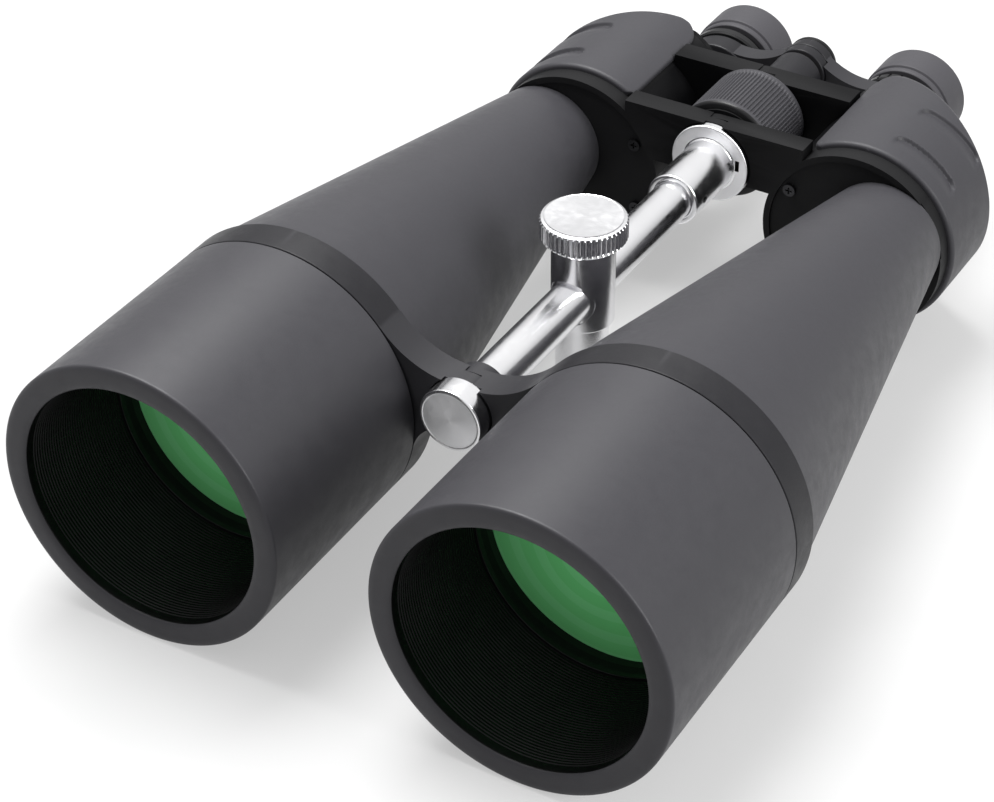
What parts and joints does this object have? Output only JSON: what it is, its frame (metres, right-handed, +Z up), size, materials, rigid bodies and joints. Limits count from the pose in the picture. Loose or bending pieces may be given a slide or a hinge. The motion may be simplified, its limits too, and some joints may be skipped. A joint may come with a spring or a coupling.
{
  "type": "astronomy binoculars",
  "caption": "Giant porro astronomy binoculars: wide objective hoods, cone barrels, prism bridge, focus wheel, and a centre rod with a sliding tripod post.",
  "frame": {"origin": "mouth of the tripod thread, at the centre of the post's foot", "axes": "+Y from the objectives to the eyepieces, +Z up, +X to the right hand side"},
  "size_m": [0.225, 0.346, 0.097],
  "materials": {
    "barrel_coat": "satin charcoal soft-touch coat",
    "bridge_black": "satin black enamel",
    "housing_black": "satin black enamel",
    "armour_rubber": "matte rubber armour",
    "eyecup_rubber": "matte soft rubber",
    "grip_rubber": "ribbed matte rubber",
    "black_anodised": "black anodised",
    "polished_aluminium": "turned and polished",
    "inner_metal": "matte",
    "spring_brass": "plain",
    "screw_steel": "plated",
    "objective_glass": "green multi-coated",
    "flint_glass": "coated",
    "prism_glass": "polished",
    "eye_glass": "purple coated"
  },
  "bodies": {
    "left_body": {"left_hood": "barrel_coat", "left_objective_retainer": "black_anodised", "left_objective_crown": "objective_glass", "left_objective_flint": "flint_glass", "left_barrel": "barrel_coat", "left_front_bridge": "bridge_black", "left_bridge_screw": "screw_steel", "left_prism_housing": "housing_black", "left_front_plate": "housing_black", "left_front_plate_screws": "screw_steel", "left_housing_armour": "armour_rubber", "left_prism_shelf": "inner_metal", "left_front_prism": "prism_glass", "left_rear_prism": "prism_glass", "left_prism_clips": "spring_brass", "left_rear_cover": "housing_black", "left_rear_cover_screws": "screw_steel", "tripod_rod": "polished_aluminium", "rod_socket": "polished_aluminium", "rod_set_screw": "screw_steel", "rod_cap_nut": "polished_aluminium", "hinge_sleeve": "bridge_black"},
    "right_body": {"right_hood": "barrel_coat", "right_objective_retainer": "black_anodised", "right_objective_crown": "objective_glass", "right_objective_flint": "flint_glass", "right_barrel": "barrel_coat", "right_front_bridge": "bridge_black", "right_bridge_screw": "screw_steel", "right_prism_housing": "housing_black", "right_front_plate": "housing_black", "right_front_plate_screws": "screw_steel", "right_housing_armour": "armour_rubber", "right_prism_shelf": "inner_metal", "right_front_prism": "prism_glass", "right_rear_prism": "prism_glass", "right_prism_clips": "spring_brass", "right_rear_cover": "housing_black", "right_rear_cover_screws": "screw_steel"},
    "focus_wheel": {"focus_wheel": "black_anodised", "focus_grip": "grip_rubber"},
    "left_carriage": {"left_eyepiece_arm": "bridge_black", "left_ocular_tube": "black_anodised", "left_field_lens": "eye_glass", "left_eye_lens": "eye_glass", "left_eyecup": "eyecup_rubber", "left_eyepiece_collar": "black_anodised", "focus_spindle": "spring_brass", "spindle_cap": "black_anodised"},
    "right_carriage": {"right_eyepiece_arm": "bridge_black"},
    "right_ocular": {"right_ocular_tube": "black_anodised", "right_field_lens": "eye_glass", "right_eye_lens": "eye_glass", "right_eyecup": "eyecup_rubber"},
    "dioptre_ring": {"right_dioptre_ring": "black_anodised"},
    "rod_bush": {"rod_bush": "polished_aluminium"},
    "tripod_post": {"tripod_post": "polished_aluminium"},
    "clamp_pad": {"clamp_pad": "spring_brass"},
    "thumb_screw": {"thumb_screw": "polished_aluminium"}
  },
  "joints": [
    {"name": "hinge_fold", "type": "hinge", "parent": "left_body", "child": "right_body", "pos_m": [0, 0, 0.059], "axis": [0, 1, 0], "range_deg": [-24, 34]},
    {"name": "focus_turn", "type": "hinge", "parent": "left_body", "child": "focus_wheel", "pos_m": [0, 0.112, 0.059], "axis": [0, 1, 0], "range_deg": [-62, 302]},
    {"name": "left_focus_slide", "type": "slide", "parent": "left_body", "child": "left_carriage", "axis": [0, 1, 0], "range_m": [-0.00133, 0.00666]},
    {"name": "right_focus_slide", "type": "slide", "parent": "right_body", "child": "right_carriage", "axis": [0, 1, 0], "range_m": [-0.0015, 0.0068]},
    {"name": "dioptre_turn", "type": "hinge", "parent": "right_carriage", "child": "dioptre_ring", "pos_m": [0.0337, 0.1707, 0.045], "axis": [0, 1, 0], "range_deg": [-92, 92]},
    {"name": "dioptre_slide", "type": "slide", "parent": "right_carriage", "child": "right_ocular", "axis": [0, 1, 0], "range_m": [-0.0015, 0.0015]},
    {"name": "post_slide", "type": "slide", "parent": "left_body", "child": "rod_bush", "axis": [0, 1, 0], "range_m": [-0.05, 0.05]},
    {"name": "post_swing", "type": "hinge", "parent": "rod_bush", "child": "tripod_post", "pos_m": [0, 0, 0.059], "axis": [0, 1, 0], "range_deg": [-30, 30]},
    {"name": "clamp_travel", "type": "slide", "parent": "tripod_post", "child": "clamp_pad", "axis": [0, 0, 1], "range_m": [0, 0.0025]},
    {"name": "thumb_turn", "type": "hinge", "parent": "clamp_pad", "child": "thumb_screw", "pos_m": [0, 0, 0.0825], "axis": [0, 0, 1], "range_deg": [-2, 722]}
  ],
  "couplings": [
    {"joint": "focus_turn", "follows": "left_focus_slide", "rad_per_m": 785.4},
    {"joint": "right_focus_slide", "follows": "left_focus_slide", "ratio": 1},
    {"joint": "dioptre_turn", "follows": "dioptre_slide", "rad_per_m": 1047.2},
    {"joint": "thumb_turn", "follows": "clamp_travel", "rad_per_m": 5026.5}
  ]
}
